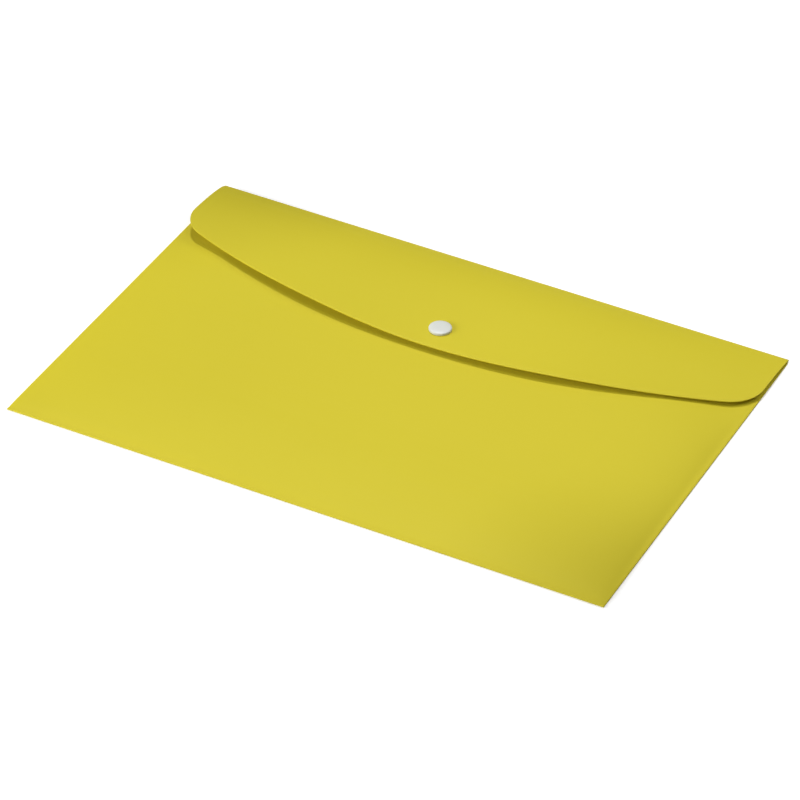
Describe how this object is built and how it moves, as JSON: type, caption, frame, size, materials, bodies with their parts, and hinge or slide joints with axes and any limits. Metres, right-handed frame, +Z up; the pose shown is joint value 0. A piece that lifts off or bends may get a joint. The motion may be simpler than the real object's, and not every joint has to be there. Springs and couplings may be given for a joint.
{
  "type": "document folder",
  "caption": "Flat landscape folder of opaque plastic sheet for A4 papers: a welded pocket with a fold-over flap that closes on a press stud.",
  "frame": {"origin": "on the table, under the middle of the folder", "axes": "+X along the long side, to the right as seen with the flap's crease away from the viewer; +Y from the front fold to the flap's crease; +Z up, from the back panel to the flap"},
  "size_m": [0.335, 0.228, 0.01],
  "materials": {
    "sheet": "satin",
    "press_stud": "satin"
  },
  "bodies": {
    "pocket": {"back_panel": "sheet", "front_panel": "sheet", "bottom_fold": "sheet", "left_side_weld": "sheet", "right_side_weld": "sheet", "flap_crease": "sheet", "snap_stud": "press_stud", "stud_rear_cap": "press_stud"},
    "flap": {"flap": "sheet", "snap_cap": "press_stud", "snap_socket": "press_stud"}
  },
  "joints": [
    {"name": "flap_hinge", "type": "hinge", "parent": "pocket", "child": "flap", "pos_m": [0, 0.11396, 0.0015], "axis": [-1, 0, 0.0036], "range_deg": [0, 168], "deforming": ["flap_crease"]}
  ]
}
